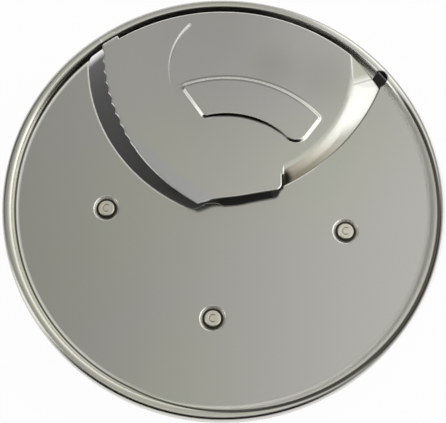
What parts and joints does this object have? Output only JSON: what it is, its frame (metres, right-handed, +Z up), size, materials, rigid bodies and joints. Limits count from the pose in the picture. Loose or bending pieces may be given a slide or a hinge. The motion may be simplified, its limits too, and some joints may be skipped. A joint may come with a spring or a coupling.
{
  "type": "food processor slicing disc",
  "caption": "Round stamped steel slicing disc with a raised scalloped blade lobe, a rolled rim and a riveted plastic hub underneath.",
  "frame": {"origin": "centre of the hub's foot, on the axis that the disc turns about", "axes": "+Z up along the axis of turning, +Y towards the raised blade lobe, +X to the right seen from above"},
  "size_m": [0.184, 0.184, 0.028],
  "materials": {
    "disc_steel": "satin stainless sheet with a ground edge and dirt in its folds",
    "hub_plastic": "fine moulded texture",
    "rivet_metal": "pressed heads with a round closing mark"
  },
  "bodies": {
    "root": {"disc": "disc_steel", "hub": "hub_plastic", "rivet_left": "rivet_metal", "rivet_front": "rivet_metal", "rivet_right": "rivet_metal"}
  },
  "joints": []
}
